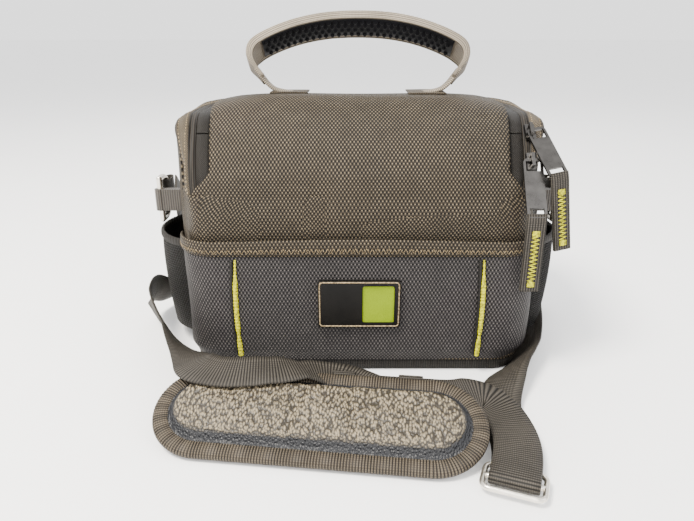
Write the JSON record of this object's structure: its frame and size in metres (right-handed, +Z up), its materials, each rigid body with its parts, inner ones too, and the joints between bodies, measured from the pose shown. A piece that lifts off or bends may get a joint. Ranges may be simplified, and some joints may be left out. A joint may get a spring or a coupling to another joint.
{
  "type": "camera bag",
  "caption": "Padded fabric camera bag with a front-hinged zipped lid, carry handle, slip pockets and a webbing shoulder strap with a sliding pad.",
  "frame": {"origin": "middle of the base, on the surface that the bag stands on", "axes": "+X to the bag's right as seen from the front, +Y to its back, +Z up"},
  "size_m": [0.3163, 0.2611, 0.226],
  "materials": {
    "nylon": "woven nylon, matt with a slight sheen",
    "boot": "matt coated fabric",
    "board": "plain stiffening board",
    "binding": "ribbed grosgrain tape",
    "foam": "closed-cell foam",
    "lining": "brushed lining",
    "tape": "twill zip tape",
    "coil": "nylon coil",
    "webbing": "ribbed webbing",
    "grip": "moulded nubs",
    "piping": "yellow piping",
    "badge": "soft moulded badge",
    "accent": "yellow-green inlay",
    "mesh": "stretch mesh",
    "metal": "plated wire and plate",
    "pull": "ribbed pull webbing",
    "pad": "pebbled coated foam"
  },
  "bodies": {
    "bag": {"base_boot": "boot", "base_board": "board", "base_binding": "binding", "front_cover": "nylon", "back_cover": "nylon", "left_cover": "nylon", "right_cover": "nylon", "front_foam": "foam", "back_foam": "foam", "left_foam": "foam", "right_foam": "foam", "lining": "lining", "zip_tape_ends": "tape", "zip_coil": "coil", "zip_tape_body": "tape", "grosgrain_edge": "binding", "pocket_panel": "nylon", "pocket_hem": "nylon", "piping_left": "piping", "piping_right": "piping", "badge": "badge", "badge_accent": "accent", "mesh_pocket_left": "mesh", "mesh_pocket_right": "mesh", "mesh_hem_left": "mesh", "mesh_hem_right": "mesh", "ring_tab_left": "webbing", "ring_tab_right": "webbing", "strap_left": "webbing", "strap_right": "webbing", "slide_buckle": "metal"},
    "lid": {"lid_cover": "nylon", "lid_foam": "foam", "lid_lining": "lining", "zip_tape_lid": "tape", "handle_feet": "webbing", "handle_patches": "webbing"},
    "handle": {"handle_band": "webbing", "handle_pad": "grip"},
    "slider_front": {"slider_front": "metal"},
    "slider_rear": {"slider_rear": "metal"},
    "plate_front": {"pull_plate_front": "metal"},
    "plate_rear": {"pull_plate_rear": "metal"},
    "tab_front": {"pull_tab_front": "pull"},
    "tab_rear": {"pull_tab_rear": "pull"},
    "ring_left": {"d_ring_left": "metal", "strap_loop_left": "webbing"},
    "ring_right": {"d_ring_right": "metal", "strap_loop_right": "webbing"},
    "divider": {"divider": "lining"},
    "shoulder_pad": {"pad_backing": "pad", "pad_binding": "binding", "pad_foam": "foam", "pad_cover": "pad", "pad_keepers": "webbing"}
  },
  "joints": [
    {"name": "lid_hinge", "type": "hinge", "parent": "bag", "child": "lid", "pos_m": [0, -0.064, 0.12], "axis": [1, 0, 0], "range_deg": [0, 105]},
    {"name": "handle_hinge", "type": "hinge", "parent": "lid", "child": "handle", "pos_m": [0, 0.024, 0.184], "axis": [1, 0, 0], "range_deg": [-35, 100]},
    {"name": "slider_front_travel", "type": "hinge", "parent": "bag", "child": "slider_front", "pos_m": [0, 0.01859, 0.08576], "axis": [1, 0, 0], "range_deg": [0, 6]},
    {"name": "slider_rear_travel", "type": "hinge", "parent": "bag", "child": "slider_rear", "pos_m": [0, 0.01859, 0.08576], "axis": [1, 0, 0], "range_deg": [-9, 0]},
    {"name": "plate_front_swing", "type": "hinge", "parent": "slider_front", "child": "plate_front", "pos_m": [0.10481, -0.05539, 0.13867], "axis": [1, 0, 0], "range_deg": [-20, 0]},
    {"name": "plate_rear_swing", "type": "hinge", "parent": "slider_rear", "child": "plate_rear", "pos_m": [0.10891, -0.04051, 0.1549], "axis": [0.9703, 0.1839, 0.1572], "range_deg": [-90, 0]},
    {"name": "tab_front_swing", "type": "hinge", "parent": "plate_front", "child": "tab_front", "pos_m": [0.10481, -0.07604, 0.10918], "axis": [1, 0, 0], "range_deg": [-40, 0]},
    {"name": "tab_rear_swing", "type": "hinge", "parent": "plate_rear", "child": "tab_rear", "pos_m": [0.11762, -0.06706, 0.13221], "axis": [0.9703, 0.1839, 0.1572], "range_deg": [-60, 0]},
    {"name": "ring_left_swing", "type": "hinge", "parent": "bag", "child": "ring_left", "pos_m": [-0.138, -0.008, 0.102], "axis": [0, 0, 1], "range_deg": [-15, 75]},
    {"name": "ring_right_swing", "type": "hinge", "parent": "bag", "child": "ring_right", "pos_m": [0.138, -0.008, 0.102], "axis": [0, 0, 1], "range_deg": [-75, 15]},
    {"name": "divider_slide", "type": "slide", "parent": "bag", "child": "divider", "axis": [1, 0, 0], "range_m": [-0.09, 0.06]},
    {"name": "pad_slide", "type": "slide", "parent": "bag", "child": "shoulder_pad", "axis": [0.9925, -0.1219, 0], "range_m": [-0.01, 0.002]}
  ]
}
